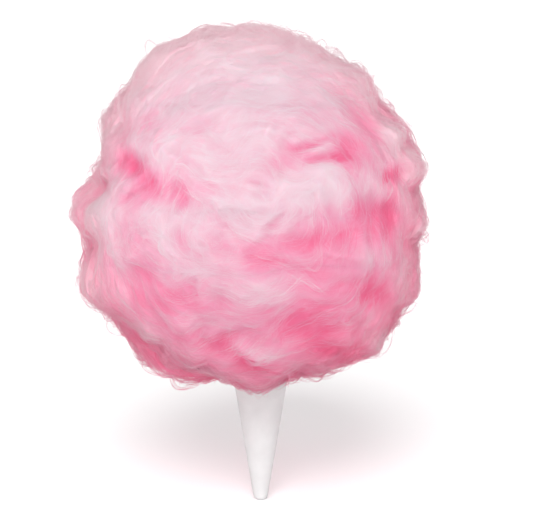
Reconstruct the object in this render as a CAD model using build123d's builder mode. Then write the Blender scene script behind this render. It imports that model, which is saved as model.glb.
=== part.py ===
from build123d import *
import math
import os

# Candy floss on a rolled paper cone, point down.
# The origin is the middle of the flat on the cone's point, +Z runs up the
# cone's axis, -Y is the front. The floss head is wound in layers: turns stuck
# to the paper, a tight core over the cone's mouth, a loose inner wrap, and five
# outer rolls stacked one on the next.

# ---- paper cone ----
tip_flat_r = 2.4  # flat on the closed point
tip_round_z = 6.0  # height at which the rounded point becomes the straight taper
taper_r0 = 5.05  # outer radius of the straight taper, carried down to z = 0
taper = 0.163  # radius gained for each mm of height (9.3 degree half-angle)
cone_length = 165.0
paper = 0.7  # two plies of rolled and glued sheet
plug_z = 3.0  # inside of the folded-in point
lap_angle = 20.0  # width of the glued lap, as an angle round the cone
lap_step = 0.35  # one ply more along the lap
lap_side = 90.0  # the lap runs up the back


def cone_r(z):
    return taper_r0 + taper * z


# ---- floss head ----
head_x = -8.0  # the head is wound slightly to the left of the cone
anchor_bottom, anchor_top, anchor_thick = 96.0, 163.0, 4.5
core_bottom, core_top, core_r = 112.0, 238.0, 45.0
inner_bottom, inner_wall = 104.0, 8.0
crown_inside = 338.0
skirt_bottom = 93.5
head_top = 364.5

# height, reach to the left and reach to the right of the head's own axis
reach = [
    (93.5, 30.0, 30.0),
    (97.0, 62.0, 50.0),
    (102.0, 73.0, 66.0),
    (108.0, 80.0, 88.0),
    (114.0, 86.0, 99.0),
    (126.0, 96.0, 105.0),
    (138.0, 106.0, 111.0),
    (150.0, 119.5, 121.5),
    (159.0, 127.0, 126.5),
    (168.0, 130.0, 128.5),
    (177.0, 128.5, 128.0),
    (186.0, 125.5, 126.0),
    (198.0, 124.5, 127.0),
    (204.0, 127.5, 130.5),
    (213.0, 133.0, 134.5),
    (222.0, 134.5, 134.0),
    (231.0, 130.0, 131.5),
    (240.0, 123.5, 128.5),
    (249.0, 116.5, 130.0),
    (258.0, 112.5, 130.0),
    (267.0, 113.0, 127.0),
    (276.0, 114.0, 124.0),
    (285.0, 111.5, 117.5),
    (294.0, 108.0, 111.5),
    (303.0, 103.5, 105.0),
    (312.0, 97.0, 95.0),
    (321.0, 89.5, 90.5),
    (330.0, 84.5, 81.5),
    (339.0, 80.0, 64.0),
    (348.0, 69.0, 49.5),
    (354.0, 54.0, 41.5),
    (360.0, 28.0, 18.0),
    (364.5, 12.0, 10.0),
]

# height and reach to the front and the back, where the rolls lie smoother
depth_reach = [
    (93.5, 30.0),
    (97.0, 56.0),
    (103.0, 72.0),
    (112.0, 88.0),
    (128.0, 104.0),
    (150.0, 119.0),
    (175.0, 128.0),
    (205.0, 132.0),
    (235.0, 130.0),
    (265.0, 122.0),
    (290.0, 110.0),
    (312.0, 95.0),
    (330.0, 78.0),
    (345.0, 58.0),
    (356.0, 36.0),
    (364.5, 11.0),
]

# inside of the outer rolls: radius about the head's axis, height
air_wall = [
    (66, 115),
    (85, 132),
    (99, 156),
    (107, 190),
    (107, 222),
    (101, 254),
    (89, 284),
    (70, 310),
    (50, 328),
]

# seams between the outer rolls: height on the head's axis, slope to the right,
# slope to the back, depth of the crease
seams = {
    "skirt": (119.0, -0.15, 0.03, 3.0),
    "lower": (193.0, -0.02, -0.07, 3.5),
    "middle": (247.0, -0.09, 0.05, 3.0),
    "shoulder": (309.0, 0.02, -0.06, 2.5),
}


def lerp(a, b, t):
    return a + (b - a) * t


def read_off(table, z):
    """The values of a table at a height, between its rows."""
    if z <= table[0][0]:
        return table[0][1:]
    for low, high in zip(table, table[1:]):
        if z <= high[0]:
            t = (z - low[0]) / (high[0] - low[0])
            return tuple(lerp(a, b, t) for a, b in zip(low[1:], high[1:]))
    return table[-1][1:]


def section_plane(z, to_right, to_back):
    """The plane of one winding turn, tilted by its two slopes."""
    return Plane(
        origin=(head_x, 0, z), x_dir=(1, 0, to_right), z_dir=(-to_right, -to_back, 1)
    )


def turn_points(z, to_right, to_back, crease):
    """One closed turn round the head, in its own plane, with a soft lobing."""
    points = []
    for i in range(16):
        a = 2 * math.pi * i / 16
        at = read_off(depth_reach, z)[0]
        here = z + at * (to_right * math.cos(a) + to_back * math.sin(a))
        left, right = read_off(reach, here)
        side = left if math.cos(a) < 0 else right
        deep = read_off(depth_reach, here)[0]
        r = lerp(deep, side, math.cos(a) ** 2)
        lobe = math.sin(3 * a + 0.031 * z) + 0.5 * math.cos(5 * a - 0.05 * z)
        r += math.sin(a) ** 2 * 0.018 * max(r - 20, 0) * lobe - crease
        points.append((r * math.cos(a), r * math.sin(a)))
    return points


def roll_sections(low, high, count):
    """Planes and turns of one outer roll between two seams."""
    found = []
    for k in range(count):
        t = k / (count - 1)
        z, right, back = (lerp(low[j], high[j], t) for j in range(3))
        edge = max(low[3] * (1 - 4 * t), high[3] * (4 * t - 3), -1.0)
        found.append((section_plane(z, right, back), turn_points(z, right, back, edge)))
    return found


# ---- paper cone: a revolved wall, closed at the point, open at the mouth ----
with BuildPart() as paper_cone:
    with BuildSketch(Plane.XZ):
        with BuildLine():
            Polyline((0, plug_z), (0, 0), (tip_flat_r, 0))
            Spline(
                (tip_flat_r, 0),
                (cone_r(tip_round_z), tip_round_z),
                tangents=[(1, 0.15), (taper, 1)],
            )
            Polyline(
                (cone_r(tip_round_z), tip_round_z),
                (cone_r(cone_length), cone_length),
                (cone_r(cone_length) - paper, cone_length),
                (cone_r(tip_round_z) - paper, tip_round_z),
                (0, plug_z),
            )
        make_face()
    revolve(axis=Axis.Z)
    # the glued lap: one more ply over a narrow strip up the back
    with BuildSketch(Plane.XZ.rotated((0, 0, lap_side - lap_angle / 2))):
        with BuildLine():
            Polyline(
                (cone_r(tip_round_z + 4) - 0.3, tip_round_z + 4),
                (cone_r(tip_round_z + 4), tip_round_z + 4),
                (cone_r(tip_round_z + 8) + lap_step, tip_round_z + 8),
                (cone_r(cone_length) + lap_step, cone_length),
                (cone_r(cone_length) - 0.3, cone_length),
                close=True,
            )
        make_face()
    revolve(axis=Axis.Z, revolution_arc=lap_angle)
paper_cone.part.label = "paper_cone"

# the room that the cone takes up in the floss, its hollow included
with BuildPart() as cone_room:
    with BuildSketch(Plane.XZ):
        with BuildLine():
            Polyline(
                (0, 40),
                (cone_r(40), 40),
                (cone_r(cone_length), cone_length),
                (0, cone_length),
                close=True,
            )
        make_face()
    revolve(axis=Axis.Z)
    with BuildSketch(Plane.XZ.rotated((0, 0, lap_side - lap_angle / 2))):
        with BuildLine():
            Polyline(
                (cone_r(40) - 0.3, 40),
                (cone_r(40) + lap_step, 40),
                (cone_r(cone_length) + lap_step, cone_length),
                (cone_r(cone_length) - 0.3, cone_length),
                close=True,
            )
        make_face()
    revolve(axis=Axis.Z, revolution_arc=lap_angle)

# ---- anchor wrap: the first turns, stuck flat on the paper ----
with BuildPart() as anchor_wrap:
    with BuildSketch(Plane.XZ):
        with BuildLine():
            Polyline(
                (0, anchor_bottom),
                (cone_r(anchor_bottom) + 1.2, anchor_bottom),
                (cone_r(anchor_bottom + 8) + anchor_thick, anchor_bottom + 8),
                (cone_r(anchor_top - 8) + anchor_thick, anchor_top - 8),
                (cone_r(anchor_top) + 1.5, anchor_top),
                (0, anchor_top),
                close=True,
            )
        make_face()
    revolve(axis=Axis.Z)
    add(cone_room.part, mode=Mode.SUBTRACT)
anchor_wrap.part.label = "anchor_wrap"

# the room that the cone and the anchor wrap take up together
with BuildPart() as stem_room:
    add(cone_room.part)
    add(anchor_wrap.part)

# ---- core wrap: the tight ball over the cone's mouth ----
with BuildPart() as core_wrap:
    with BuildSketch(Plane.XZ):
        with BuildLine():
            Polyline((0, core_top), (0, core_bottom), (33, core_bottom))
            Spline(
                (33, core_bottom),
                (core_r - 3, 144),
                (core_r, 172),
                (core_r - 6, 206),
                (18, core_top),
                tangents=[(1, 1.2), (-1, 0.12)],
            )
            Line((18, core_top), (0, core_top))
        make_face()
    revolve(axis=Axis.Z)
    add(stem_room.part, mode=Mode.SUBTRACT)
core_wrap.part.label = "core_wrap"


def egg(bottom, foot, waist, top, cap):
    """Half outline of an egg about the head's axis, flat at both ends."""
    mid = (bottom + top) / 2
    return [
        (head_x + foot, bottom),
        (head_x + waist * 0.86, bottom + (mid - bottom) * 0.36),
        (head_x + waist, mid - 8),
        (head_x + waist * 0.88, mid + (top - mid) * 0.5),
        (head_x + cap, top),
    ]


# ---- inner wrap: a loose layer, with air between it and its neighbours ----
with BuildPart() as inner_wrap:
    with BuildSketch(Plane.XZ):
        with BuildLine():
            outline = Spline(*egg(inner_bottom, 46, 88, crown_inside, 24))
            Polyline(
                outline @ 1,
                (head_x, crown_inside),
                (head_x, inner_bottom),
                outline @ 0,
            )
        make_face()
    revolve(axis=Axis((head_x, 0, 0), (0, 0, 1)))
    with BuildSketch(Plane.XZ):
        with BuildLine():
            outline = Spline(
                *egg(core_bottom, 44, 88 - inner_wall, crown_inside - inner_wall, 20)
            )
            Polyline(
                outline @ 1,
                (head_x, crown_inside - inner_wall),
                (head_x, core_bottom),
                outline @ 0,
            )
        make_face()
    revolve(axis=Axis((head_x, 0, 0), (0, 0, 1)), mode=Mode.SUBTRACT)
    add(stem_room.part, mode=Mode.SUBTRACT)

inner_seam = section_plane(214.0, 0.05, 0.04)
with BuildPart() as inner_wrap_lower:
    add(inner_wrap.part)
    split(bisect_by=inner_seam, keep=Keep.BOTTOM)
inner_wrap_lower.part.label = "inner_wrap_lower"

with BuildPart() as inner_wrap_upper:
    add(inner_wrap.part)
    split(bisect_by=inner_seam, keep=Keep.TOP)
inner_wrap_upper.part.label = "inner_wrap_upper"

# the air space inside the outer rolls, with the stem that passes up through it
with BuildPart() as head_room:
    with BuildSketch(Plane.XZ):
        with BuildLine():
            outline = Spline(
                (head_x + 48, inner_bottom),
                *[(head_x + r, z) for r, z in air_wall],
                (head_x + 30, crown_inside),
            )
            Polyline(
                outline @ 1,
                (head_x, crown_inside),
                (head_x, inner_bottom),
                outline @ 0,
            )
        make_face()
    revolve(axis=Axis((head_x, 0, 0), (0, 0, 1)))
    add(stem_room.part)

# ---- outer rolls, from the bottom up ----
bottom_turns = [
    (skirt_bottom, 0.0, 0.0, 0.0),
    (98.0, -0.02, 0.0, 0.0),
    (103.0, -0.06, 0.01, -1.0),
    (110.0, -0.11, 0.02, -0.5),
    seams["skirt"],
]
with BuildPart() as floss_skirt:
    for z, right, back, crease in bottom_turns:
        with BuildSketch(section_plane(z, right, back)):
            with BuildLine():
                Spline(*turn_points(z, right, back, crease), periodic=True)
            make_face()
    loft()
    add(head_room.part, mode=Mode.SUBTRACT)
floss_skirt.part.label = "floss_skirt"

with BuildPart() as lower_belt:
    for plane, turn in roll_sections(seams["skirt"], seams["lower"], 7):
        with BuildSketch(plane):
            with BuildLine():
                Spline(*turn, periodic=True)
            make_face()
    loft()
    add(head_room.part, mode=Mode.SUBTRACT)
lower_belt.part.label = "lower_belt"

with BuildPart() as middle_belt:
    for plane, turn in roll_sections(seams["lower"], seams["middle"], 7):
        with BuildSketch(plane):
            with BuildLine():
                Spline(*turn, periodic=True)
            make_face()
    loft()
    add(head_room.part, mode=Mode.SUBTRACT)
middle_belt.part.label = "middle_belt"

with BuildPart() as shoulder_roll:
    for plane, turn in roll_sections(seams["middle"], seams["shoulder"], 7):
        with BuildSketch(plane):
            with BuildLine():
                Spline(*turn, periodic=True)
            make_face()
    loft()
    add(head_room.part, mode=Mode.SUBTRACT)
shoulder_roll.part.label = "shoulder_roll"

top_turns = [
    seams["shoulder"],
    (320.0, 0.01, -0.04, -1.0),
    (332.0, 0.0, -0.02, -1.0),
    (344.0, 0.0, -0.01, 0.0),
    (354.0, 0.0, 0.0, 0.0),
    (361.0, 0.0, 0.0, 0.0),
    (head_top, 0.0, 0.0, 0.0),
]
with BuildPart() as floss_crown:
    for z, right, back, crease in top_turns:
        with BuildSketch(section_plane(z, right, back)):
            with BuildLine():
                Spline(*turn_points(z, right, back, crease), periodic=True)
            make_face()
    loft()
    add(head_room.part, mode=Mode.SUBTRACT)
floss_crown.part.label = "floss_crown"

# ---- one file for each piece ----
os.makedirs("parts", exist_ok=True)
for piece in (
    paper_cone,
    anchor_wrap,
    core_wrap,
    inner_wrap_lower,
    inner_wrap_upper,
    floss_skirt,
    lower_belt,
    middle_belt,
    shoulder_roll,
    floss_crown,
):
    export_step(piece.part, f"parts/{piece.part.label}.step")
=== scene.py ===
import math

import bpy
import numpy as np
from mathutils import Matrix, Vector
from mathutils.bvhtree import BVHTree


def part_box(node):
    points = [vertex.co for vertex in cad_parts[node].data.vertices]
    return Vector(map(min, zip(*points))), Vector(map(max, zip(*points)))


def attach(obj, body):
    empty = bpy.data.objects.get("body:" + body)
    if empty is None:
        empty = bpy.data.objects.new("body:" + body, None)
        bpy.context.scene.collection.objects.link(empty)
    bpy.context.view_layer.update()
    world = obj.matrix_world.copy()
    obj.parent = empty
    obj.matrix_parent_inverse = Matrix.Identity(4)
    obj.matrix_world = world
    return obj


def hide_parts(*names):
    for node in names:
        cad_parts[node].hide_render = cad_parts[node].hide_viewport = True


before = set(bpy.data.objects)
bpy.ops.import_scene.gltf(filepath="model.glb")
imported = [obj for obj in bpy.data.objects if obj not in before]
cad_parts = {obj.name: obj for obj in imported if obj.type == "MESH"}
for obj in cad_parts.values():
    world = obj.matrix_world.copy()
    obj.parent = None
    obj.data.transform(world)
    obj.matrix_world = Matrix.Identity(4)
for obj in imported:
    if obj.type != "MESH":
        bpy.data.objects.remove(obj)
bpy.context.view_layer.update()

# ---------------------------------------------------------------- places
ROLLS = ("floss_skirt", "lower_belt", "middle_belt", "shoulder_roll", "floss_crown")
low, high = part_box("middle_belt")
crown_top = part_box("floss_crown")[1][2]
skirt_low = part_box("floss_skirt")[0][2]
HEAD = np.array([(low[0] + high[0]) / 2, 0.0, skirt_low + 0.131])  # inside of the head
CONE_R0, CONE_TAPER = 0.00505, 0.163  # the paper's outer radius at z = 0, and its growth
SEAMS = (  # height on the head's axis, slope to the right, slope to the back
    (0.119, -0.15, 0.03),
    (0.193, -0.02, -0.07),
    (0.247, -0.09, 0.05),
    (0.309, 0.02, -0.06),
)


# ---------------------------------------------------------------- noise
class Noise:
    """Smooth value noise in three dimensions, from a seeded table."""

    def __init__(self, seed, n=32):
        self.n = n
        self.t = np.random.default_rng(seed).random((n, n, n), dtype=np.float32) * 2 - 1

    def __call__(self, p, wave):
        q = p / wave + 7.3
        i = np.floor(q).astype(np.int64)
        f = (q - i).astype(np.float32)
        f = f * f * f * (f * (f * 6 - 15) + 10)
        n, t = self.n, self.t
        x0, y0, z0 = (i % n).T
        x1, y1, z1 = ((i + 1) % n).T
        fx, fy, fz = f.T
        a = t[x0, y0, z0] * (1 - fx) + t[x1, y0, z0] * fx
        b = t[x0, y1, z0] * (1 - fx) + t[x1, y1, z0] * fx
        c = t[x0, y0, z1] * (1 - fx) + t[x1, y0, z1] * fx
        d = t[x0, y1, z1] * (1 - fx) + t[x1, y1, z1] * fx
        return (a * (1 - fy) + b * fy) * (1 - fz) + (c * (1 - fy) + d * fy) * fz

    def fbm(self, p, wave, octaves=3, gain=0.5):
        total, amp = 0.0, 1.0
        for _ in range(octaves):
            total = total + amp * self(p, wave)
            wave, amp = wave / 2.03, amp * gain
        return total


def unit(v):
    return v / np.maximum(np.linalg.norm(v, axis=-1, keepdims=True), 1e-9)


# ---------------------------------------------------------------- the head's surface
NU, NV = 1024, 512  # azimuth and elevation steps of the table of radii


def directions(nu, nv):
    az = (np.arange(nu) + 0.5) / nu * 2 * np.pi
    el = ((np.arange(nv) + 0.5) / nv - 0.5) * np.pi
    a, e = np.meshgrid(az, el)
    return np.stack([np.cos(e) * np.cos(a), np.cos(e) * np.sin(a), np.sin(e)], axis=-1)


def cad_radii(nu, nv):
    """How far the CAD rolls reach from the head's inside, in every direction."""
    verts, faces, n = [], [], 0
    for name in ROLLS:
        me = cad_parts[name].data
        co = np.empty(len(me.vertices) * 3, dtype=np.float32)
        me.vertices.foreach_get("co", co)
        me.calc_loop_triangles()
        tri = np.empty(len(me.loop_triangles) * 3, dtype=np.int32)
        me.loop_triangles.foreach_get("vertices", tri)
        world = np.array(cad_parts[name].matrix_world)
        co = co.reshape(-1, 3) @ world[:3, :3].T + world[:3, 3]
        verts += [tuple(v) for v in co]
        faces += [tuple(int(i) + n for i in t) for t in tri.reshape(-1, 3)]
        n = len(verts)
    tree = BVHTree.FromPolygons(verts, faces)
    dirs = directions(nu, nv).reshape(-1, 3)
    r = np.full(len(dirs), np.nan)
    for k, d in enumerate(dirs):
        d = Vector(d)
        hit = tree.ray_cast(Vector(HEAD) + d * 0.4, -d)
        # beside the paper a ray can go up through the cone's hole, and hit far inside
        if hit[0] is not None and 0.4 - hit[3] > 0.09:
            r[k] = 0.4 - hit[3]
    return r.reshape(nv, nu)


def blur(grid, along, up):
    """Smooths a table, round in azimuth and clamped in elevation."""
    for _ in range(3):
        pad = np.concatenate([grid[:, -along:], grid, grid[:, :along]], axis=1)
        c = np.cumsum(np.pad(pad, ((0, 0), (1, 0))), axis=1)
        grid = (c[:, 2 * along + 1 :] - c[:, : -2 * along - 1]) / (2 * along + 1)
        pad = np.pad(grid, ((up, up), (0, 0)), mode="edge")
        c = np.cumsum(np.pad(pad, ((1, 0), (0, 0))), axis=0)
        grid = (c[2 * up + 1 :] - c[: -2 * up - 1]) / (2 * up + 1)
    return grid


def sample(grid, d):
    """Reads a table of directions, between its entries."""
    nv, nu = grid.shape
    u = np.arctan2(d[..., 1], d[..., 0]) / (2 * np.pi) * nu - 0.5
    v = (np.arcsin(np.clip(d[..., 2], -1, 1)) / np.pi + 0.5) * nv - 0.5
    v = np.clip(v, 0, nv - 1.001)
    u0, v0 = np.floor(u).astype(int), np.floor(v).astype(int)
    fu, fv = u - u0, v - v0
    u1 = (u0 + 1) % nu
    u0 = u0 % nu
    a = grid[v0, u0] * (1 - fu) + grid[v0, u1] * fu
    b = grid[v0 + 1, u0] * (1 - fu) + grid[v0 + 1, u1] * fu
    return a * (1 - fv) + b * fv


# Lumps and hollows of the head's front, seen from 12 degrees above:
# right of and above the head's middle in mm, length, width and turn of the lump
# in mm and degrees, how far it stands out in mm, and how pale it is.
TILT = math.radians(12)
RIGHT = np.array([1.0, 0, 0])
UP = np.array([0, math.sin(TILT), math.cos(TILT)])
FRONT = np.array([0, -math.cos(TILT), math.sin(TILT)])
# the paleness column is partly the floss's own tone and partly painted light and shade: lumps paler,
# hollows more saturated
LUMPS = [
    (-14, 72, 62, 40, 0, 3.0, 0.04),
    (16, 12, 44, 20, 6, 3.0, 0.12),
    (52, 20, 22, 20, -30, 3.0, 0.10),
    (-104, -6, 26, 30, 0, 3.5, 0.08),
    (-6, 0, 26, 10, -5, 1.5, 0.06),
    (108, 52, 22, 34, 20, 3.0, 0.05),
    (22, -56, 44, 16, -6, 4.0, 0.05),
    (88, -38, 22, 24, 15, 4.0, 0.05),
    (-86, -62, 30, 26, -20, 4.0, -0.03),
    (112, -66, 24, 26, 40, 3.5, 0.0),
    (10, -104, 34, 12, -8, 3.5, 0.03),
    (-52, -92, 26, 16, -35, 3.5, 0.0),
    (97, -108, 15, 12, 40, 7.0, 0.05),
    (88, -119, 10, 9, 0, 5.0, 0.0),
    (-122, -56, 14, 14, 0, 1.5, 0.0),
    (-110, -81, 16, 11, -50, -13.0, 0.0),
    (-88, -104, 22, 12, -42, -15.0, 0.0),
    (116, -80, 10, 12, 50, -9.0, 0.0),
    (104, 76, 14, 10, -45, -5.0, 0.0),
    (92, 96, 12, 10, -45, 2.0, 0.0),
    (64, 118, 16, 9, -35, -6.0, 0.0),
    (-54, 124, 16, 9, 25, -3.0, 0.0),
    (-92, 92, 14, 12, 45, -5.0, 0.0),
    (-104, 64, 12, 10, 60, -7.0, 0.0),
    (104, -88, 12, 10, 45, -8.0, 0.0),
    (-40, -124, 20, 8, -12, -8.0, 0.0),
    (-126, 14, 12, 10, 0, -12.0, 0.0),
    (44, -128, 18, 8, 10, -2.5, 0.0),
    (-24, -130, 18, 8, -10, -5.5, 0.0),
    (-60, 124, 18, 9, 25, -6.5, 0.0),
    (40, 127, 14, 8, -15, -3.0, 0.0),
    (-84, 100, 12, 9, 45, -2.5, 0.0),
    (112, 64, 10, 8, 0, -4.0, 0.0),
    (121, 50, 10, 12, 0, -8.0, 0.0),
    (126, 14, 8, 8, 0, -4.0, 0.0),
    (129, -11, 8, 8, 0, 5.0, 0.0),
    (-124, -29, 8, 9, 0, -5.0, 0.0),
    (124, -29, 8, 8, 0, -4.0, 0.0),
    (76, -114, 10, 8, 40, -1.5, 0.0),
    (-62, -122, 14, 9, -25, -7.0, 0.0),
    (62, -118, 10, 8, 30, -3.0, 0.0),
    (-37, -129, 13, 8, 0, -10.0, 0.0),
    (-46, 130, 8, 8, 0, -6.0, 0.0),
    (-74, -110, 12, 9, -35, -4.5, 0.0),
    (-8, 133, 40, 12, 0, -5.0, 0.0),
    (-124, 20, 9, 8, 0, -6.0, 0.0),
    (-74, 106, 10, 8, 45, -3.0, 0.0),
    (2, -109, 40, 8, 0, 0.0, -0.12),
    (80, -56, 34, 16, 0, 0.0, -0.08),
    (-30, 8, 12, 8, 0, 0.0, -0.08),
    (49, 31, 8, 6, 0, 0.0, -0.14),
    (-86, -2, 9, 8, 0, 0.0, -0.12),
    (110, -12, 8, 8, 0, 0.0, -0.14),
    (110, 26, 8, 9, 0, 0.0, -0.16),
    (66, 104, 10, 8, -40, 0.0, 0.12),
    (40, -34, 10, 8, 0, 0.0, -0.08),
    (-85, -45, 45, 45, 0, 0.0, 0.08),
    (10, 112, 60, 9, 0, 0.0, 0.16),
    (-63, 111, 14, 10, 40, 0.0, 0.18),
    (28, 110, 22, 9, -15, 0.0, 0.14),
    (-72, 33, 15, 8, 0, 0.0, 0.15),
    (-29, 33, 10, 9, 0, 0.0, 0.12),
    (92, 33, 8, 9, 0, 0.0, -0.13),
    (-116, 7, 9, 11, 0, 0.0, 0.10),
    (58, 7, 11, 9, 0, 0.0, 0.13),
    (109, 2, 8, 16, 0, 0.0, -0.15),
    (87, -46, 15, 12, 0, 0.0, -0.12),
    (-55, -70, 18, 9, 0, 0.0, -0.13),
    (-38, -96, 15, 8, 0, 0.0, -0.12),
    (40, -84, 13, 18, 0, 0.0, -0.13),
    (-80, -98, 11, 9, -40, 0.0, 0.06),
    (92, -98, 9, 8, 40, 0.0, 0.18),
    (0, 46, 22, 22, 0, 0.0, 0.16),
    (23, 84, 14, 11, 0, 0.0, 0.12),
    (84, 44, 16, 20, 0, 0.0, -0.20),
    (-98, 33, 10, 10, 0, 0.0, -0.14),
    (-68, 7, 34, 9, 0, 0.0, -0.20),
    (-115, 7, 8, 10, 0, 0.0, 0.10),
    (40, 7, 26, 8, 0, 0.0, 0.12),
    (-3, -19, 18, 10, 0, 0.0, 0.18),
    (92, -19, 22, 14, 0, 0.0, -0.16),
    (6, -45, 10, 10, 0, 0.0, -0.22),
    (-29, -45, 10, 8, 0, 0.0, 0.10),
    (23, -70, 9, 8, 0, 0.0, 0.14),
    (58, -80, 28, 18, 0, 0.0, -0.12),
    (109, -70, 8, 10, 0, 0.0, 0.18),
    (92, -96, 10, 9, 0, 0.0, 0.30),
    (-80, -96, 10, 10, 0, 0.0, 0.10),
    (-92, 8, 13, 9, 0, -1.5, -0.16),
    (-118, -20, 14, 24, 0, 0.0, 0.14),
    (-45, -42, 20, 14, 0, 0.0, 0.14),
    (50, -56, 26, 18, 0, 0.0, -0.18),
    (60, -26, 30, 14, 0, 0.0, -0.12),
    (36, -84, 34, 12, 0, 0.0, -0.10),
    (80, 44, 12, 8, 0, 0.0, -0.12),
    (-50, 4, 12, 8, 0, 0.0, -0.14),
    (76, -20, 34, 26, 0, 0.0, -0.18),
    (84, 52, 28, 24, 0, 0.0, -0.16),
    (-75, 15, 30, 15, 0, 0.0, -0.12),
    (38, 31, 15, 8, -10, 0.0, -0.22),
    (-5, 14, 26, 10, 0, 0.0, -0.12),
    (-20, -6, 40, 14, 0, 0.0, 0.10),
    (40, 96, 50, 20, -20, 0.0, -0.06),
    (-56, 109, 12, 5, 45, -1.5, -0.12),
    (-76, 65, 20, 8, 40, -2.5, -0.12),
    (-36, 57, 18, 7, 12, -3.0, -0.14),
    (-58, 49, 7, 6, 0, 1.5, 0.10),
    (-32, 74, 10, 7, 0, 1.0, 0.07),
    (7, 54, 24, 14, 10, 2.0, 0.10),
    (-94, 34, 12, 9, -30, -5.0, -0.35),
    (-80, 20, 14, 9, -35, -6.0, -0.32),
    (-53, 14, 10, 8, -50, -3.5, -0.22),
    (-49, -1, 6, 6, 0, -2.0, -0.12),
    (-102, 42, 10, 14, 0, -3.5, -0.20),
    (17, 29, 12, 7, 25, -2.5, -0.14),
    (40, 43, 12, 4, 12, -4.5, -0.35),
    (55, 48, 10, 3.5, 25, -2.5, -0.20),
    (53, 35, 12, 4.5, 8, -4.5, -0.38),
    (70, 37, 11, 6, -15, -4.5, -0.38),
    (75, 78, 14, 6, -58, -2.5, -0.14),
    (90, 60, 10, 8, -50, -3.5, -0.26),
    (73, 50, 8, 7, 0, -2.5, -0.20),
    (109, 23, 8, 7, 0, -4.5, -0.42),
    (89, -2, 13, 10, 0, -3.5, -0.32),
    (109, -3, 8, 10, 0, -3.5, -0.28),
    (55, 22, 16, 9, -10, 2.0, 0.10),
    (29, 6, 16, 10, 15, 2.0, 0.10),
    (107, 56, 8, 14, 20, 1.5, 0.14),
    (-55, -13, 14, 6, 55, 2.5, 0.22),
    (-60, -30, 14, 5, -68, 2.5, 0.15),
    (-37, -19, 8, 12, 0, 2.0, 0.16),
    (8, -55, 14, 7, -15, 2.5, 0.14),
    (0, -64, 18, 4, -15, 1.5, 0.10),
    (-89, -13, 8, 10, 0, -2.0, -0.08),
    (-79, -50, 18, 10, 0, -3.0, -0.14),
    (-75, -69, 14, 10, 0, -2.5, -0.12),
    (-50, -64, 18, 7, 0, -2.5, -0.10),
    (-21, -98, 11, 6, -10, -4.5, -0.32),
    (-2, -110, 11, 5, -30, -4.5, -0.30),
    (41, -27, 30, 6, 8, -3.0, -0.16),
    (17, -41, 12, 5, -10, -2.5, -0.12),
    (90, -62, 13, 11, 0, -5.5, -0.42),
    (59, -102, 13, 5, 5, -4.5, -0.30),
    (50, -89, 12, 8, 0, -2.5, -0.14),
    (104, -16, 6, 11, 0, -2.5, -0.20),
    (84, -35, 8, 8, 0, 1.5, 0.08),
    (2, -100, 18, 4, -8, 2.0, 0.14),
    (32, -122, 14, 5, 0, -1.5, -0.12),
]
# how pale the floss is, by height above the head's middle in mm: painted light and
# shade, the crown painted paler as if lit from above, the low floss more saturated as if in shade
PAINTED_LIGHT_BY_HEIGHT = (
    (-125, 0.34), (-98, 0.38), (-84, 0.42), (-70, 0.47), (-55, 0.52), (-40, 0.55),
    (-26, 0.57), (-12, 0.62), (3, 0.68), (32, 0.70), (60, 0.77), (89, 0.84), (122, 0.95), (133, 1.05),
)


def lumps(dirs):
    """What the front's lumps add to the radius, and to the paleness."""
    x, v, w = dirs @ RIGHT * 133, dirs @ UP * 133, dirs @ FRONT
    out, pale = np.zeros(x.shape), np.zeros(x.shape)
    face = np.clip(0.5 + w * 4, 0, 1)
    for cx, cv, a, b, turn, h, p in LUMPS:
        t = math.radians(turn)
        dx, dv = x - cx, v - cv
        s = (dx * math.cos(t) + dv * math.sin(t)) / a
        q = (dv * math.cos(t) - dx * math.sin(t)) / b
        g = np.exp(-(s * s + q * q)) * face
        out += h * g
        pale += p * g
    return out / 1000, pale


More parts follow.
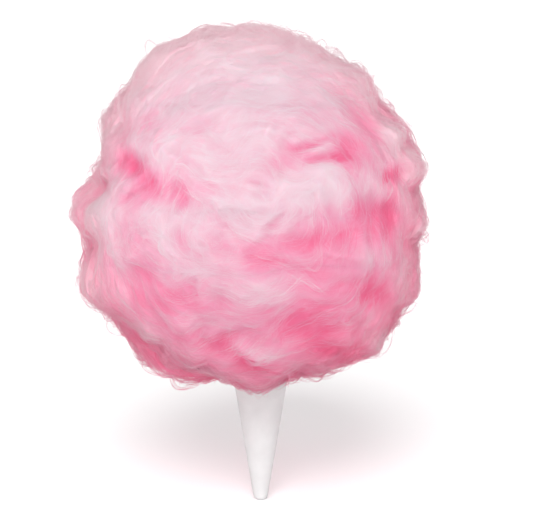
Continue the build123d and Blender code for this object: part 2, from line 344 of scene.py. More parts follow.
def build_surface():
    cad = cad_radii(256, 128)
    for row in range(cad.shape[0]):
        bad = np.isnan(cad[row])
        if bad.all():
            continue
        cad[row, bad] = np.nanmean(cad[row])
    good = np.where(~np.isnan(cad).all(axis=1))[0]
    cad[: good[0]] = np.nanmean(cad[good[0]])
    cad[good[-1] :] = np.nanmean(cad[good[-1]])
    dirs = directions(NU, NV)
    # the rolls show as steps in the outline, and melt together where seen flat on
    close, far = sample(blur(cad, 3, 2), dirs), sample(blur(cad, 10, 8), dirs)
    flat_on = np.clip((np.abs(dirs @ FRONT) - 0.25) / 0.35, 0, 1)
    flat_on = flat_on * flat_on * (3 - 2 * flat_on)
    base = close * (1 - flat_on) + far * flat_on
    out, pale = lumps(dirs)
    big, small, fine = Noise(11), Noise(12), Noise(13)
    p = dirs.reshape(-1, 3) * 0.133
    warp = np.stack([big(p + k, 0.07) for k in (0.0, 0.31, 0.62)], axis=-1) * 0.016
    puff = 1 - np.abs(small.fbm(p + warp, 0.055, 3, 0.5))
    puff = (puff.reshape(NV, NU) - 0.72) * 0.0075
    tuft = 1 - np.abs(fine.fbm(p + warp * 2, 0.024, 2, 0.5))
    tuft = (tuft.reshape(NV, NU) - 0.72) * 0.0042
    ripple = fine.fbm(p + warp * 1.5, 0.012, 2, 0.5).reshape(NV, NU) * 0.0007
    wide = big(p, 0.11).reshape(NV, NU) * 0.0025
    plain = 1 - 0.6 * np.clip(dirs @ FRONT * 1.6, 0, 1)
    relief = puff * plain + tuft * (0.5 + 0.5 * plain) + wide * plain
    surface = base - 0.0030 + out + relief + ripple
    v = dirs @ UP * 133
    # painted light and shade by height: paler at the crown, more saturated low down
    low = np.interp(v, [h for h, _ in PAINTED_LIGHT_BY_HEIGHT], [t for _, t in PAINTED_LIGHT_BY_HEIGHT])
    # painted shade: the head's outline, as seen from the front, is made more saturated
    painted_rim_shade = np.exp(-((dirs @ FRONT / 0.33) ** 2)) * np.clip((105 - v) / 60, 0, 1)
    # painted shade and light: hollows of the relief are made more saturated, and lumps paler
    crease_shade_depth = surface - blur(surface, 16, 16)
    patch = big.fbm(p + 0.9, 0.045, 3, 0.55).reshape(NV, NU)
    pale = low + pale - 0.12 * painted_rim_shade + np.clip(crease_shade_depth / 0.006, -1, 1) * 0.18
    pale = pale + patch * 0.08 * (0.5 + plain)
    return surface, np.where(pale > 0.75, 0.75 + 0.25 * np.tanh((pale - 0.75) / 0.25), pale)


# ---------------------------------------------------------------- which way the strands run
flow_a, flow_b, flow_c = Noise(21), Noise(22), Noise(23)
POLE = unit(np.array([0.12, -0.95, 0.22]))
# Strokes on the front: right of and above the middle in mm, the way the strands lie
# in degrees from level, and how far round the stroke they keep to it, in mm.
STROKES = (
    (14, 106, 0, 22), (-65, 92, 42, 22), (-86, 70, 58, 18), (72, 85, -50, 20),
    (100, 63, -52, 18), (-112, -20, 88, 18), (-60, -30, -68, 14), (-46, -10, 62, 12),
    (63, 0, 68, 14), (50, 42, 14, 12), (70, 31, -32, 10), (76, 13, -72, 12),
    (-8, -23, -32, 9), (9, -30, 0, 9), (24, -23, 42, 9), (42, -55, -35, 8),
    (54, -58, 10, 6), (64, -54, 48, 8), (-4, -60, -15, 14), (16, -61, 20, 10),
    (-57, -88, -62, 9), (-47, -99, -8, 8), (-34, -99, 30, 9), (94, -96, 42, 16),
    (23, -106, 4, 16), (90, -5, 75, 16), (108, -5, 82, 14), (72, -23, 60, 14),
    (-104, -48, -72, 14), (-97, -66, -56, 14), (-79, -88, -50, 14), (-32, 70, 14, 18),
    (0, 70, 4, 18), (36, 70, -16, 18), (-28, 44, -34, 12), (-34, 17, -12, 14),
    (-4, 42, 28, 14), (29, 56, 22, 14), (4, 12, -6, 16), (34, 20, 4, 12),
    (-90, 10, 48, 14), (84, -38, 66, 12), (60, -80, 24, 14), (96, -62, 55, 12),
)


def frame_at(d):
    """Two directions along the head, carried over from the front's right and up."""
    k = 1 / np.maximum(1 + (d * FRONT).sum(-1), 1e-3)
    both = d + FRONT
    return (
        unit(RIGHT - both * ((d * RIGHT).sum(-1) * k)[..., None]),
        unit(UP - both * ((d * UP).sum(-1) * k)[..., None]),
    )


def build_flow():
    """The way the strands run, in every direction, kept as twice its angle."""
    d = directions(NU, NV).reshape(-1, 3)
    e1, e2 = frame_at(d)
    p = d * 0.133
    mix = (0.5 + 0.5 * flow_c(p, 0.09))[:, None]
    around = unit(np.cross(POLE, d))
    belt = unit(np.cross(np.array([0.1, 0.05, 1.0]), d))
    c, s = 0.0, 0.0
    for t, weight in ((around, 1.0 - 0.55 * mix), (belt, 0.55 * mix)):
        a = 2 * np.arctan2((t * e2).sum(-1), (t * e1).sum(-1))
        c = c + np.cos(a) * weight[:, 0]
        s = s + np.sin(a) * weight[:, 0]
    x, v, w = d @ RIGHT * 133, d @ UP * 133, d @ FRONT
    face = np.clip(0.3 + w * 3, 0, 1)
    guided = np.zeros(len(d))
    for cx, cv, turn, reach in STROKES:
        g = np.exp(-((x - cx) ** 2 + (v - cv) ** 2) / reach**2) * face * 3.2
        c = c + g * math.cos(2 * math.radians(turn))
        s = s + g * math.sin(2 * math.radians(turn))
        guided = guided + g
    free = 1 / (1 + 0.5 * guided)
    angle = (
        flow_a(p, 0.085) * 0.9 * free
        + flow_b(p, 0.034) * (0.35 + 0.5 * free)
        + flow_b(p + 0.4, 0.014) * 0.35
    )
    a = np.arctan2(s, c) + 2 * angle
    return np.stack([np.cos(a), np.sin(a)], -1).reshape(NV, NU, 2)


FLOW = build_flow()


def flow(d, along=None):
    """The strands' direction at d. It keeps the sense of along, where given."""
    a = 0.5 * np.arctan2(sample(FLOW[..., 1], d), sample(FLOW[..., 0], d))
    e1, e2 = frame_at(d)
    t = e1 * np.cos(a)[:, None] + e2 * np.sin(a)[:, None]
    if along is not None:
        t = t * np.where((t * along).sum(-1) < 0, -1.0, 1.0)[:, None]
    return t


def combed(d, noise, wave, reach, steps):
    """Noise drawn out along the strands, from -1 to 1."""
    total = noise(d * 0.133, wave)
    for way in (1, -1):
        q, t = d.copy(), flow(d) * way
        for k in range(steps):
            q = unit(q + t * (reach / steps / 0.133))
            t = flow(q, t)
            total = total + noise(q * 0.133, wave) * (1 - (k + 1) / (steps + 1))
    total = total - total.mean()
    return np.clip(total / (total.std() * 2.2), -1, 1)


def finish_surface():
    surface, pale = build_surface()
    d = directions(NU, NV).reshape(-1, 3)
    locks = combed(d, Noise(41), 0.006, 0.026, 7).reshape(NV, NU)
    fine = combed(d, Noise(42), 0.0028, 0.014, 5).reshape(NV, NU)
    surface = surface + locks * 0.0009 + fine * 0.0004
    return surface, pale + locks * 0.10 + fine * 0.05


SURFACE, PALE = finish_surface()


def radius(d):
    return sample(SURFACE, d)


def painted_rim_red(d):
    """Painted light and shade: the front, which the lamps light most, is painted a little less red,
    and the sides and the back keep more red in place of the light they miss.
    """
    faded = np.clip((d @ FRONT - 0.25) / 0.55, 0, 1)
    return 1 - 0.13 * faded * faded * (3 - 2 * faded)


def keep_tint(me, tint, d):
    """Stores how pale and how red each point of a mesh is; the red is painted light and shade, less
    on the front and more on the sides and back.
    """
    for name, values in (("tint", tint), ("red", painted_rim_red(d))):
        at = me.attributes.new(name, "FLOAT", "POINT")
        at.data.foreach_set("value", values.astype(np.float32))


def seam_height(k, p):
    z, right, back = SEAMS[k]
    return z + right * (p[..., 0] - HEAD[0]) + back * p[..., 1]


seam_noise = Noise(31)


def roll_of(p):
    """Which roll, from the bottom up, holds a point."""
    wave = seam_noise(p, 0.05) * 0.006
    return sum((p[..., 2] + wave > seam_height(k, p)).astype(int) for k in range(4))


# ---------------------------------------------------------------- strands
SIDES = 3


def build_normals():
    d = directions(NU, NV)
    p = d * blur(SURFACE, 20, 20)[..., None]  # light is spread about inside the fluff
    along = np.roll(p, -1, axis=1) - np.roll(p, 1, axis=1)
    up = np.gradient(p, axis=0)
    n = unit(np.cross(along, up))
    n[:3], n[-3:] = d[:3], d[-3:]
    return n


NORMALS = build_normals()


def head_normal(d):
    return unit(np.stack([sample(NORMALS[..., k], d) for k in range(3)], axis=-1))


def grow(rng, dirs, steps, length, lift, sink, curl, twist, turn):
    """Traces strands over the head from start directions. Gives (n, steps, 3) points."""
    n = len(dirs)
    ds = (length / (steps - 1))[:, None]
    p = HEAD + dirs * radius(dirs)[:, None]
    points = np.empty((n, steps, 3))
    phase = rng.random(n) * 6.28
    s = np.linspace(0, 1, steps)
    wave = 2 * np.pi * rng.uniform(1.0, 2.6, n)
    t = flow(dirs) * np.where(rng.random(n) < 0.5, -1.0, 1.0)[:, None]
    for k in range(steps):
        d = unit(p - HEAD)
        h = sink + (lift - sink) * np.sin(np.pi * np.clip(s[k] * 1.04, 0, 1)) ** 0.8
        here = HEAD + d * (radius(d) + h)[:, None]
        t = flow(d, t)
        a = turn + twist * (s[k] - 0.5) * 2
        side = np.cross(d, t)
        go = t * np.cos(a)[:, None] + side * np.sin(a)[:, None]
        side = np.cross(d, go)
        wob = curl * np.sin(wave * s[k] + phase)
        points[:, k] = here + side * wob[:, None] + d * (wob * 0.4)[:, None]
        p = here + go * ds
    return points


def tubes(points, width, taper=0.35):
    """Thin closed three-sided tubes along strands. Gives vertices and faces."""
    n, m, _ = points.shape
    t = np.empty_like(points)
    t[:, 1:-1] = points[:, 2:] - points[:, :-2]
    t[:, 0] = points[:, 1] - points[:, 0]
    t[:, -1] = points[:, -1] - points[:, -2]
    t = unit(t)
    out = unit(points - HEAD)
    a = unit(np.cross(t, out))
    b = np.cross(t, a)
    s = np.linspace(0, 1, m)
    w = 1 - (1 - taper) * np.abs(2 * s - 1) ** 3
    rad = (width[:, None] * w[None]) / 2
    verts = np.empty((n, m, SIDES, 3), dtype=np.float32)
    for j in range(SIDES):
        c = 2 * np.pi * j / SIDES + np.pi / 2
        verts[:, :, j] = points + (a * math.cos(c) + b * math.sin(c)) * rad[..., None]
    return verts


def strand_mesh(name, points, width, tint):
    """One mesh of many strands, with its paleness kept at each point, and a cell of
    the UV map for each strand."""
    n, m, _ = points.shape
    verts = tubes(points, width)
    face_out = head_normal(unit(points - HEAD))
    index = np.arange(n * m * SIDES).reshape(n, m, SIDES)
    side = max(1, math.ceil(math.sqrt(n)))
    col, row = (np.arange(n) % side) / side, (np.arange(n) // side) / side
    u = 0.12 + 0.76 * np.linspace(0, 1, m)
    quads = np.empty((n, m - 1, SIDES, 4), dtype=np.int32)
    uvs = np.empty((n, m - 1, SIDES, 4, 2), dtype=np.float32)
    for j in range(SIDES):
        j1 = (j + 1) % SIDES
        quads[:, :, j, 0] = index[:, :-1, j]
        quads[:, :, j, 1] = index[:, :-1, j1]
        quads[:, :, j, 2] = index[:, 1:, j1]
        quads[:, :, j, 3] = index[:, 1:, j]
        for c, (us, jv) in enumerate(((u[:-1], j), (u[:-1], j + 1), (u[1:], j + 1), (u[1:], j))):
            uvs[:, :, j, c, 0] = col[:, None] + us[None] / side
            uvs[:, :, j, c, 1] = row[:, None] + (0.12 + 0.76 * jv / SIDES) / side
    caps = np.concatenate([index[:, 0, ::-1], index[:, -1, :]]).astype(np.int32)
    cap_uv = np.empty((2, n, SIDES, 2), dtype=np.float32)
    for e, at in enumerate((0.03, 0.91)):
        for j, (du, dv) in enumerate(((0, 0.2), (0.06, 0.5), (0, 0.8))):
            cap_uv[e, :, j, 0] = col + (at + du) / side
            cap_uv[e, :, j, 1] = row + dv / side
    quads = quads.reshape(-1, 4)
    me = bpy.data.meshes.new(name)
    me.vertices.add(n * m * SIDES)
    me.vertices.foreach_set("co", verts.reshape(-1))
    loops = np.concatenate([quads.reshape(-1), caps.reshape(-1)])
    me.loops.add(len(loops))
    me.loops.foreach_set("vertex_index", loops)
    starts = np.concatenate(
        [np.arange(len(quads)) * 4, len(quads) * 4 + np.arange(len(caps)) * 3]
    )
    me.polygons.add(len(starts))
    me.polygons.foreach_set("loop_start", starts.astype(np.int32))
    me.polygons.foreach_set("use_smooth", np.ones(len(starts), dtype=bool))
    me.update(calc_edges=True)
    cells = me.uv_layers.new(name="OFBake")
    cells.data.foreach_set("uv", np.concatenate([uvs.reshape(-1), cap_uv.reshape(-1)]))
    me.validate()
    # fine floss takes light as the fluff round it does, more than as a single thread
    lean = unit(verts - points[:, :, None]) * 0.8 + face_out[:, :, None] * 0.6
    me.normals_split_custom_set_from_vertices(unit(lean).reshape(-1, 3))
    d = np.repeat(unit(points - HEAD).reshape(-1, 3), SIDES, axis=0)
    keep_tint(me, np.repeat(tint.reshape(-1), SIDES), d)
    ob = bpy.data.objects.new(name, me)
    bpy.context.scene.collection.objects.link(ob)
    return ob


def random_dirs(rng, n):
    d = rng.normal(size=(int(n * 1.2), 3))
    d = unit(d)
    # no strand starts where the cone comes out
    keep = ~((d[:, 2] < -0.9) & (np.hypot(d[:, 0] * 0.13 + HEAD[0], d[:, 1] * 0.13) < 0.021))
    return d[keep][:n]


def clear_cone(p, gap):
    """Moves points that would lie in the paper cone straight out past its skin."""
    flat = np.hypot(p[..., 0], p[..., 1])
    need = np.where(p[..., 2] < 0.165, CONE_R0 + CONE_TAPER * p[..., 2] + gap, 0.0)
    scale = np.maximum(need / np.maximum(flat, 1e-6), 1)
    p[..., 0] *= scale
    p[..., 1] *= scale


def on_cone(p, z):
    """The points of the paper's skin at a height, in the directions of p."""
    flat = np.maximum(np.hypot(p[:, 0], p[:, 1]), 1e-6)
    r = CONE_R0 + CONE_TAPER * z + 0.0003
    return np.stack([p[:, 0] / flat * r, p[:, 1] / flat * r, np.full(len(p), z)], axis=-1)


# ---------------------------------------------------------------- bodies of the rolls
BODY_IN = 0.0026  # the solid-looking inside of a roll starts this far under its strands


def body_mesh(name, k, columns=420, rows=46):
    """A closed roll: its lumpy outside between two seams, and a plain inside."""
    az = np.arange(columns) / columns * 2 * np.pi
    wall = (0.008, 0.016, 0.018, 0.018, 0.018)[k]

    def edge(seam):
        if seam < 0:
            return np.full(columns, -1.335)
        if seam > 3:
            return np.full(columns, math.pi / 2 - 0.02)
        steps = np.linspace(-1.28, 1.45, 274)
        e, a = np.meshgrid(steps, az, indexing="ij")
        d = np.stack([np.cos(e) * np.cos(a), np.cos(e) * np.sin(a), np.sin(e)], -1).reshape(-1, 3)
        p = HEAD + d * radius(d)[:, None]
        over = (p[:, 2] + seam_noise(p, 0.05) * 0.006 - seam_height(seam, p)).reshape(e.shape)
        i = np.maximum(np.argmax(over > 0, axis=0), 1)
        c = np.arange(columns)
        share = -over[i - 1, c] / np.maximum(over[i, c] - over[i - 1, c], 1e-6)
        el = steps[i - 1] + (steps[1] - steps[0]) * np.clip(share, 0, 1)
        for _ in range(3):  # near the flat underside the crossing can jump
            el = sum(np.roll(el, k) for k in range(-5, 6)) / 11
        return el

    lo, hi = edge(k - 1), edge(k)
    s = np.linspace(0, 1, rows)
    # where two rolls meet, each one's edge goes in under the other
    below, above = (0.015 if k > 0 else 0.0), (0.015 if k < 4 else 0.0)
    el = (lo[:, None] - below) * (1 - s) + (hi[:, None] + above) * s
    d = np.stack(
        [np.cos(el) * np.cos(az)[:, None], np.cos(el) * np.sin(az)[:, None], np.sin(el)], -1
    )
    r = radius(d.reshape(-1, 3)).reshape(columns, rows) - BODY_IN
    if above:
        r = r - 0.0010 * np.clip((el - hi[:, None] + 0.003) / 0.018, 0, 1)
    if below:
        r = r - 0.0010 * np.clip((lo[:, None] - el + 0.003) / 0.018, 0, 1)
    outer = HEAD + d * r[..., None]
    inner = HEAD + d[:, ::-1] * (r[:, ::-1] - wall)[..., None]
    if k == 0:
        # the skirt is gathered in to the paper, and its inside stays clear of it
        clear_cone(inner, 0.0025)
        clear_cone(outer, 0.0010)
        foot, top = on_cone(outer[:, 0], 0.0945), on_cone(inner[:, -1], 0.1000)
        s = np.arange(8) / 8
        under = foot[:, None] * (1 - s)[:, None] + outer[:, :1] * s[:, None]
        under[..., 2] -= np.sin(s * np.pi) * 0.0015
        s = np.arange(1, 9) / 8
        over = inner[:, -1:] * (1 - s)[:, None] + top[:, None] * s[:, None]
        outer = np.concatenate([under, outer], axis=1)
        inner = np.concatenate([inner, over], axis=1)
    loop = np.concatenate([outer, inner], axis=1)
    n = loop.shape[1]
    index = np.arange(columns * n).reshape(columns, n)
    nxt = np.roll(index, -1, axis=0)
    if k < 4:
        up = np.roll(index, -1, axis=1)
        upn = np.roll(nxt, -1, axis=1)
        quads = np.stack([index, nxt, upn, up], -1).reshape(-1, 4)
        extra = []
    else:
        # the crown closes over the top, outside and inside
        up = np.roll(index, -1, axis=1)
        upn = np.roll(nxt, -1, axis=1)
        keep = np.ones(n, dtype=bool)
        keep[rows - 1] = False
        quads = np.stack([index, nxt, upn, up], -1)[:, keep].reshape(-1, 4)
        extra = [(rows - 1, False), (rows, True)]
    verts = [tuple(v) for v in loop.reshape(-1, 3)]
    faces = [tuple(q) for q in quads.tolist()]
    for row, flip in extra:
        ring = index[:, row]
        mid = loop[:, row].mean(axis=0)
        verts.append(tuple(mid))
        c = len(verts) - 1
        for i in range(columns):
            a, b = int(ring[i]), int(ring[(i + 1) % columns])
            faces.append((b, a, c) if flip else (a, b, c))
    me = bpy.data.meshes.new(name)
    me.from_pydata(verts, [], faces)
    me.polygons.foreach_set("use_smooth", np.ones(len(me.polygons), dtype=bool))
    me.validate()
    me.set_sharp_from_angle(angle=math.radians(55))
    co = np.array(verts)
    dd = unit(co - HEAD)
    keep_tint(me, sample(PALE, dd) - 0.06, dd)
    ob = bpy.data.objects.new(name, me)
    bpy.context.scene.collection.objects.link(ob)
    return ob


# ---------------------------------------------------------------- materials
def new_material(name):
    m = bpy.data.materials.new(name)
    m.use_nodes = True
    nt = m.node_tree
    nt.nodes.clear()
    return m, nt


def link(nt, a, b):
    nt.links.new(a, b)


def floss_material(name, body):
    m, nt = new_material(name)
    N = nt.nodes.new
    out = N("ShaderNodeOutputMaterial")
    tint = N("ShaderNodeAttribute")
    tint.attribute_name = "tint"
    tex = N("ShaderNodeTexCoord")
    fine = N("ShaderNodeTexNoise")
    fine.inputs["Scale"].default_value = 240.0 if body else 120.0
    fine.inputs["Detail"].default_value = 3.0
    fine.inputs["Roughness"].default_value = 0.55
    link(nt, tex.outputs["Object"], fine.inputs["Vector"])
    add = N("ShaderNodeMath")
    add.operation = "MULTIPLY_ADD"
    link(nt, fine.outputs["Fac"], add.inputs[0])
    add.inputs[1].default_value = 0.16
    add.inputs[2].default_value = -0.08
    total = N("ShaderNodeMath")
    total.operation = "ADD"
    total.use_clamp = True
    link(nt, add.outputs[0], total.inputs[0])
    link(nt, tint.outputs["Fac"], total.inputs[1])
    ramp = N("ShaderNodeValToRGB")
    el = ramp.color_ramp.elements
    stops = [
        (0.0, (0.69, 0.130, 0.240, 1)),
        (0.35, (0.68, 0.250, 0.353, 1)),
        (0.65, (0.655, 0.372, 0.440, 1)),
        (1.0, (0.65, 0.500, 0.530, 1)),
    ]
    el[0].position, el[0].color = stops[0]
    el[1].position, el[1].color = stops[-1]
    for pos, col in stops[1:-1]:
        e = el.new(pos)
        e.color = col
    link(nt, total.outputs[0], ramp.inputs["Fac"])
    # the red attribute scales the colour's red: painted light and shade, less red on the front, more
    # on the sides and back
    red = N("ShaderNodeAttribute")
    red.attribute_name = "red"
    scale = N("ShaderNodeCombineXYZ")
    scale.inputs["Y"].default_value = 1.0
    scale.inputs["Z"].default_value = 1.0
    link(nt, red.outputs["Fac"], scale.inputs["X"])
    colour = N("ShaderNodeVectorMath")
    colour.operation = "MULTIPLY"
    link(nt, ramp.outputs["Color"], colour.inputs[0])
    link(nt, scale.outputs[0], colour.inputs[1])
    bsdf = N("ShaderNodeBsdfPrincipled")
    link(nt, colour.outputs[0], bsdf.inputs["Base Color"])
    bsdf.inputs["Roughness"].default_value = 0.7
    bsdf.inputs["Specular IOR Level"].default_value = 0.12
    if body:
        bsdf.inputs["Subsurface Weight"].default_value = 0.6
        bsdf.inputs["Subsurface Radius"].default_value = (1.0, 0.35, 0.5)
        bsdf.inputs["Subsurface Scale"].default_value = 0.014
        bump = N("ShaderNodeBump")
        bump.inputs["Strength"].default_value = 0.4
        bump.inputs["Distance"].default_value = 0.0008
        link(nt, fine.outputs["Fac"], bump.inputs["Height"])
        link(nt, bump.outputs["Normal"], bsdf.inputs["Normal"])
        link(nt, bsdf.outputs[0], out.inputs["Surface"])
    else:
        trans = N("ShaderNodeBsdfTranslucent")
        link(nt, colour.outputs[0], trans.inputs["Color"])
        mix = N("ShaderNodeMixShader")
        mix.inputs["Fac"].default_value = 0.08
        link(nt, bsdf.outputs[0], mix.inputs[1])
        link(nt, trans.outputs[0], mix.inputs[2])
        # spun sugar is clear: light from the lamps goes on through it, tinted
        clear = N("ShaderNodeBsdfTransparent")
        clear.inputs["Color"].default_value = (1.0, 0.84, 0.89, 1)
        path = N("ShaderNodeLightPath")
        through = N("ShaderNodeMixShader")
        link(nt, path.outputs["Is Shadow Ray"], through.inputs["Fac"])
        link(nt, mix.outputs[0], through.inputs[1])
        link(nt, clear.outputs[0], through.inputs[2])
        # and so does what the fluff and the room throw back
        spread = N("ShaderNodeMixShader")
        link(nt, path.outputs["Is Diffuse Ray"], spread.inputs["Fac"])
        faint = N("ShaderNodeBsdfTransparent")
        faint.inputs["Color"].default_value = (1.0, 0.95, 0.97, 1)
        link(nt, through.outputs[0], spread.inputs[1])
        link(nt, faint.outputs[0], spread.inputs[2])
        link(nt, spread.outputs[0], out.inputs["Surface"])
    return m


def paper_material():
    m, nt = new_material("rolled_paper")
    N = nt.nodes.new
    out = N("ShaderNodeOutputMaterial")
    bsdf = N("ShaderNodeBsdfPrincipled")
    tex = N("ShaderNodeTexCoord")
    grain = N("ShaderNodeTexNoise")
    grain.inputs["Scale"].default_value = 900.0
    grain.inputs["Detail"].default_value = 5.0
    link(nt, tex.outputs["Object"], grain.inputs["Vector"])
    cloud = N("ShaderNodeTexNoise")
    cloud.inputs["Scale"].default_value = 70.0
    cloud.inputs["Detail"].default_value = 3.0
    link(nt, tex.outputs["Object"], cloud.inputs["Vector"])
    ramp = N("ShaderNodeValToRGB")
    ramp.color_ramp.elements[0].position = 0.3
    # the paper's grey is a little green-blue to cancel the pink light the floss throws on it: a
    # painted correction of light
    ramp.color_ramp.elements[0].color = (0.560, 0.572, 0.570, 1)
    ramp.color_ramp.elements[1].position = 0.7
    ramp.color_ramp.elements[1].color = (0.610, 0.622, 0.620, 1)
    link(nt, cloud.outputs["Fac"], ramp.inputs["Fac"])
    link(nt, ramp.outputs["Color"], bsdf.inputs["Base Color"])
    bsdf.inputs["Roughness"].default_value = 0.55
    bsdf.inputs["Specular IOR Level"].default_value = 0.35
    bump = N("ShaderNodeBump")
    bump.inputs["Strength"].default_value = 0.25
    bump.inputs["Distance"].default_value = 0.0002
    link(nt, grain.outputs["Fac"], bump.inputs["Height"])
    link(nt, bump.outputs["Normal"], bsdf.inputs["Normal"])
    link(nt, bsdf.outputs[0], out.inputs["Surface"])
    return m


body_mat = floss_material("floss_body", True)
strand_mat = floss_material("floss_strands", False)
paper_mat = paper_material()

# ---------------------------------------------------------------- build the rolls
SHORT = ("skirt", "lower", "middle", "shoulder", "crown")
for k, node in enumerate(ROLLS):
    ob = body_mesh(SHORT[k] + "_roll_body", k)
    ob.data.materials.append(body_mat)
    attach(ob, "root")
    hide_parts(node)

rng = np.random.default_rng(5)


tuft_noise = Noise(51)


def seam_dirs(rng, n):
    """Start directions along the seams, so that strands run across from roll to roll."""
    d = random_dirs(rng, n * 16)
    p = HEAD + d * radius(d)[:, None]
    z = p[:, 2] + seam_noise(p, 0.05) * 0.006
    gap = np.min([np.abs(z - seam_height(k, p)) for k in range(4)], axis=0)
    return d[gap < 0.004][:n]


def lay(label, count, bunch, steps, length, width, lift, sink, curl, bow, spread, aim, pale, mottle):
    """Lays strands in small bunches that run together, one mesh for each roll.

    lift is the least height of a strand's middle, the mean of what is added to it,
    the most it can reach, and how far a bunch shares its height. spread is a bunch's
    half-width in mm, aim how far, in radians, bunches and the strands inside them
    stray from the common flow, and mottle how their paleness varies."""
    heads = (seam_dirs if label == "seam" else random_dirs)(rng, max(count // bunch, 1))
    b = len(heads)
    dirs = np.repeat(heads, bunch, axis=0)
    dirs = unit(dirs + rng.normal(0, spread / 133, dirs.shape))
    n = len(dirs)
    shade = np.repeat(rng.normal(0, mottle[0], b), bunch) + rng.normal(0, mottle[1], n)
    turn = np.repeat(rng.normal(0, aim[0], b), bunch) + rng.normal(0, aim[1], n)
    bend = np.repeat(rng.normal(0, bow, b), bunch) + rng.normal(0, bow * 0.15, n)
    least, more, most_high, shared = lift
    rise = shared * np.repeat(rng.exponential(1, b), bunch)
    rise = rise + (1 - shared) * rng.exponential(1, n)
    # it stands up in tufts, and lies down between them
    spot = dirs * 0.133
    puffed = np.clip(tuft_noise.fbm(spot, 0.017, 2) * 0.9 + 0.45, 0, 1.3) ** 1.6
    high = np.minimum(least + more * rise * (0.35 + 1.3 * puffed), most_high) / 1000
    lowest = rng.uniform(sink[0], sink[1], n) / 1000
    size = np.repeat(rng.uniform(length[0], length[1], b), bunch)
    size = size * rng.uniform(0.75, 1.0, n) / 1000
    wave = rng.uniform(curl[0], curl[1], n) / 1000
    pts = grow(rng, dirs, steps, size, high, lowest, wave, bend, turn)
    clear_cone(pts, 0.0003)
    wide = rng.uniform(width[0], width[1], n) / 1000
    d = unit(pts - HEAD)
    r = np.linalg.norm(pts - HEAD, axis=-1) - radius(d)
    tint = sample(PALE, d) + pale + shade[:, None]
    # painted light and shade: strands standing out from the head are painted paler, those lying deep
    # more saturated
    tint = tint + np.clip(r / 0.004, -0.8, 1.0) * 0.05
    roll = roll_of(pts[:, steps // 2])
    most = 198000 // ((steps - 1) * SIDES * 2 + 2)
    for k in range(5):
        pick = np.where(roll == k)[0]
        for part, at in enumerate(range(0, len(pick), most)):
            some = pick[at : at + most]
            ob = strand_mesh(f"{SHORT[k]}_{label}_{part + 1}", pts[some], wide[some], tint[some])
            ob.data.materials.append(strand_mat)
            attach(ob, "root")


lay("web", 38000, 6, 7, (12, 32), (0.10, 0.19), (-1.4, 2.2, 7.5, 0.4), (-2.4, -0.6), (0.3, 1.8), 1.0, 1.5, (0.6, 0.45), -0.03, (0.06, 0.03))
lay("locks", 20000, 14, 8, (18, 48), (0.12, 0.19), (0.4, 1.5, 5.5, 0.6), (-1.6, -0.2), (0.1, 0.5), 0.5, 1.0, (0.25, 0.06), 0.16, (0.10, 0.03))
lay("loops", 13500, 14, 11, (16, 42), (0.12, 0.20), (1.8, 2.6, 9.0, 0.9), (-1.4, 0.2), (0.1, 0.7), 0.8, 0.7, (0.6, 0.08), -0.02, (0.10, 0.03))

lay("seam", 7000, 6, 7, (14, 30), (0.10, 0.19), (-0.6, 1.4, 5.0, 0.4), (-1.6, -0.2), (0.2, 1.2), 1.0, 2.0, (0.4, 0.3), 0.0, (0.06, 0.03))

# ---------------------------------------------------------------- the wraps under the rolls
under_noise = Noise(61)


def wrap_body(node, size):
    """An even, lumpy mesh of a wrap that other wraps cover. It stays inside its CAD solid."""
    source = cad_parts[node]
    me = source.data.copy()
    me.transform(source.matrix_world)
    plain = bpy.data.objects.new(node + "_plain", me)
    bpy.context.scene.collection.objects.link(plain)
    even = plain.modifiers.new("even", "REMESH")
    even.mode = "VOXEL"
    even.voxel_size = size
    now = bpy.context.evaluated_depsgraph_get()
    me = bpy.data.meshes.new_from_object(plain.evaluated_get(now), depsgraph=now)
    bpy.data.objects.remove(plain)
    me.name = node + "_body"
    me.materials.clear()
    n = len(me.vertices)
    co, out = np.empty(n * 3, dtype=np.float32), np.empty(n * 3, dtype=np.float32)
    me.vertices.foreach_get("co", co)
    me.vertex_normals.foreach_get("vector", out)
    co, out = co.reshape(-1, 3).astype(float), out.reshape(-1, 3)
    drawn = np.stack([co[:, 0], co[:, 1], co[:, 2] * 2.5], axis=-1)
    lump = under_noise.fbm(drawn, 0.018, 3, 0.6)
    co -= out * (0.0004 + 0.0010 * np.clip(0.6 - lump, 0, 1.4))[:, None]
    me.vertices.foreach_set("co", co.astype(np.float32).reshape(-1))
    me.polygons.foreach_set("use_smooth", np.ones(len(me.polygons), dtype=bool))
    me.update()
    keep_tint(me, 0.42 + 0.16 * lump, unit(co - HEAD))
    ob = bpy.data.objects.new(node + "_body", me)
    bpy.context.scene.collection.objects.link(ob)
    ob.data.materials.append(body_mat)
    return ob


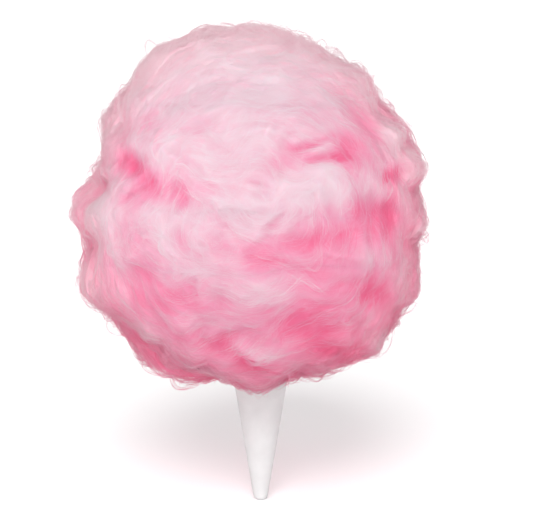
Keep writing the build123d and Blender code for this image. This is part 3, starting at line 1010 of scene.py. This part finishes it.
def wrap_strands(node, body, count, steps=7):
    """Strands that run round a covered wrap, laid along its skin."""
    me = body.data
    n = len(me.vertices)
    co = np.empty(n * 3, dtype=np.float32)
    me.vertices.foreach_get("co", co)
    co = co.reshape(-1, 3).astype(float)
    tree = BVHTree.FromObject(body, bpy.context.evaluated_depsgraph_get())
    p = co[rng.integers(0, n, count)]
    length = rng.uniform(0.014, 0.030, count)
    turn = rng.normal(0, 0.35, count)
    points = np.empty((count, steps, 3))
    for k in range(steps):
        skin, out = np.empty_like(p), np.empty_like(p)
        for i, q in enumerate(p):
            at, normal, _, _ = tree.find_nearest(Vector(q))
            skin[i], out[i] = at, normal
        s = k / (steps - 1)
        # the middle of a strand rides just under the CAD skin, and its ends go in
        points[:, k] = skin + out * (0.0003 - 0.0006 * abs(2 * s - 1) ** 2)
        around = np.cross(np.array([0.0, 0, 1]), out)
        around = unit(around + 1e-6)
        up = np.cross(out, around)
        go = around * np.cos(turn)[:, None] + up * np.sin(turn)[:, None]
        p = skin + unit(go) * (length / (steps - 1))[:, None]
    tint = 0.46 + 0.16 * under_noise.fbm(points.reshape(-1, 3), 0.018, 2).reshape(count, steps)
    tint = tint + rng.normal(0, 0.07, count)[:, None]
    ob = strand_mesh(node + "_strands", points, rng.uniform(0.00012, 0.0002, count), tint)
    ob.data.materials.append(strand_mat)
    return ob


for node, size, count in (
    ("anchor_wrap", 0.0011, 700),
    ("core_wrap", 0.0016, 1500),
    ("inner_wrap_lower", 0.0024, 3000),
    ("inner_wrap_upper", 0.0024, 3000),
):
    body = wrap_body(node, size)
    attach(body, "root")
    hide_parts(node)
    hair = wrap_strands(node, body, count)
    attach(hair, "root")

# ---------------------------------------------------------------- the cone keeps its CAD shape
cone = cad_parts["paper_cone"]
for s in cone.material_slots:
    s.material = paper_mat

# ---------------------------------------------------------------- stage, lights, camera
bpy.ops.mesh.primitive_plane_add(size=12, location=(0, 0, 0))
floor = bpy.context.object
floor.name = "studio_floor"
fm, nt = new_material("studio_floor")
out = nt.nodes.new("ShaderNodeOutputMaterial")
fb = nt.nodes.new("ShaderNodeBsdfDiffuse")
fb.inputs["Color"].default_value = (0.90, 0.895, 0.895, 1)
nt.links.new(fb.outputs[0], out.inputs["Surface"])
floor.data.materials.append(fm)

world = bpy.data.worlds.new("studio")
bpy.context.scene.world = world
world.use_nodes = True
nt = world.node_tree
nt.nodes.clear()
out = nt.nodes.new("ShaderNodeOutputWorld")
seen = nt.nodes.new("ShaderNodeBackground")
seen.inputs["Color"].default_value = (1, 1, 1, 1)
seen.inputs["Strength"].default_value = 1.0
lit = nt.nodes.new("ShaderNodeBackground")
lit.inputs["Color"].default_value = (1, 1, 1, 1)
# a studio of tall white walls and a dimmer ceiling
way = nt.nodes.new("ShaderNodeTexCoord")
split = nt.nodes.new("ShaderNodeSeparateXYZ")
nt.links.new(way.outputs["Generated"], split.inputs[0])
fade = nt.nodes.new("ShaderNodeMapRange")
fade.inputs["From Min"].default_value = 0.0
fade.inputs["From Max"].default_value = 1.0
fade.inputs["To Min"].default_value = 0.76
fade.inputs["To Max"].default_value = 0.40
nt.links.new(split.outputs["Z"], fade.inputs["Value"])
nt.links.new(fade.outputs["Result"], lit.inputs["Strength"])
path = nt.nodes.new("ShaderNodeLightPath")
mix = nt.nodes.new("ShaderNodeMixShader")
nt.links.new(path.outputs["Is Camera Ray"], mix.inputs["Fac"])
nt.links.new(lit.outputs[0], mix.inputs[1])
nt.links.new(seen.outputs[0], mix.inputs[2])
nt.links.new(mix.outputs[0], out.inputs["Surface"])


def sun(name, azimuth, elevation, strength, angle, color=(1, 1, 1)):
    """A distant soft light. Azimuth 0 stands at the front, positive to the right."""
    data = bpy.data.lights.new(name, "SUN")
    data.energy = strength
    data.angle = math.radians(angle)
    data.color = color
    ob = bpy.data.objects.new(name, data)
    bpy.context.scene.collection.objects.link(ob)
    a, e = math.radians(azimuth), math.radians(elevation)
    to = Vector((math.cos(e) * math.sin(a), -math.cos(e) * math.cos(a), math.sin(e)))
    ob.rotation_euler = to.to_track_quat("Z", "Y").to_euler()
    return ob


sun("key", -5, 43, 2.3, 30)
sun("front", 0, 8, 1.2, 60)
rims = [
    sun("left", -95, 8, 1.7, 60),
    sun("right", 95, 8, 1.3, 60),
    sun("back_left", -145, 6, 0.8, 60),
    sun("back_right", 145, 6, 0.7, 60),
]
# the side lamps stand in for light that comes on through the sugar: they pass the paper by
passed_by = bpy.data.collections.new("passed_by")
passed_by.objects.link(cone)
for item in passed_by.collection_objects:
    item.light_linking.link_state = "EXCLUDE"
for lamp in rims:
    lamp.light_linking.receiver_collection = passed_by

TARGET = Vector((0.0086, 0.0, 0.1825))
DISTANCE = 2.25
e = math.radians(12)
cam = bpy.data.cameras.new("camera")
cam.lens = 200
cam.sensor_width = 36
cam.clip_end = 50
eye = bpy.data.objects.new("camera", cam)
bpy.context.scene.collection.objects.link(eye)
eye.location = TARGET + Vector((0, -math.cos(e), math.sin(e))) * DISTANCE
eye.rotation_euler = (TARGET - eye.location).to_track_quat("-Z", "Y").to_euler()
bpy.context.scene.camera = eye
bpy.context.scene.view_settings.view_transform = "Standard"
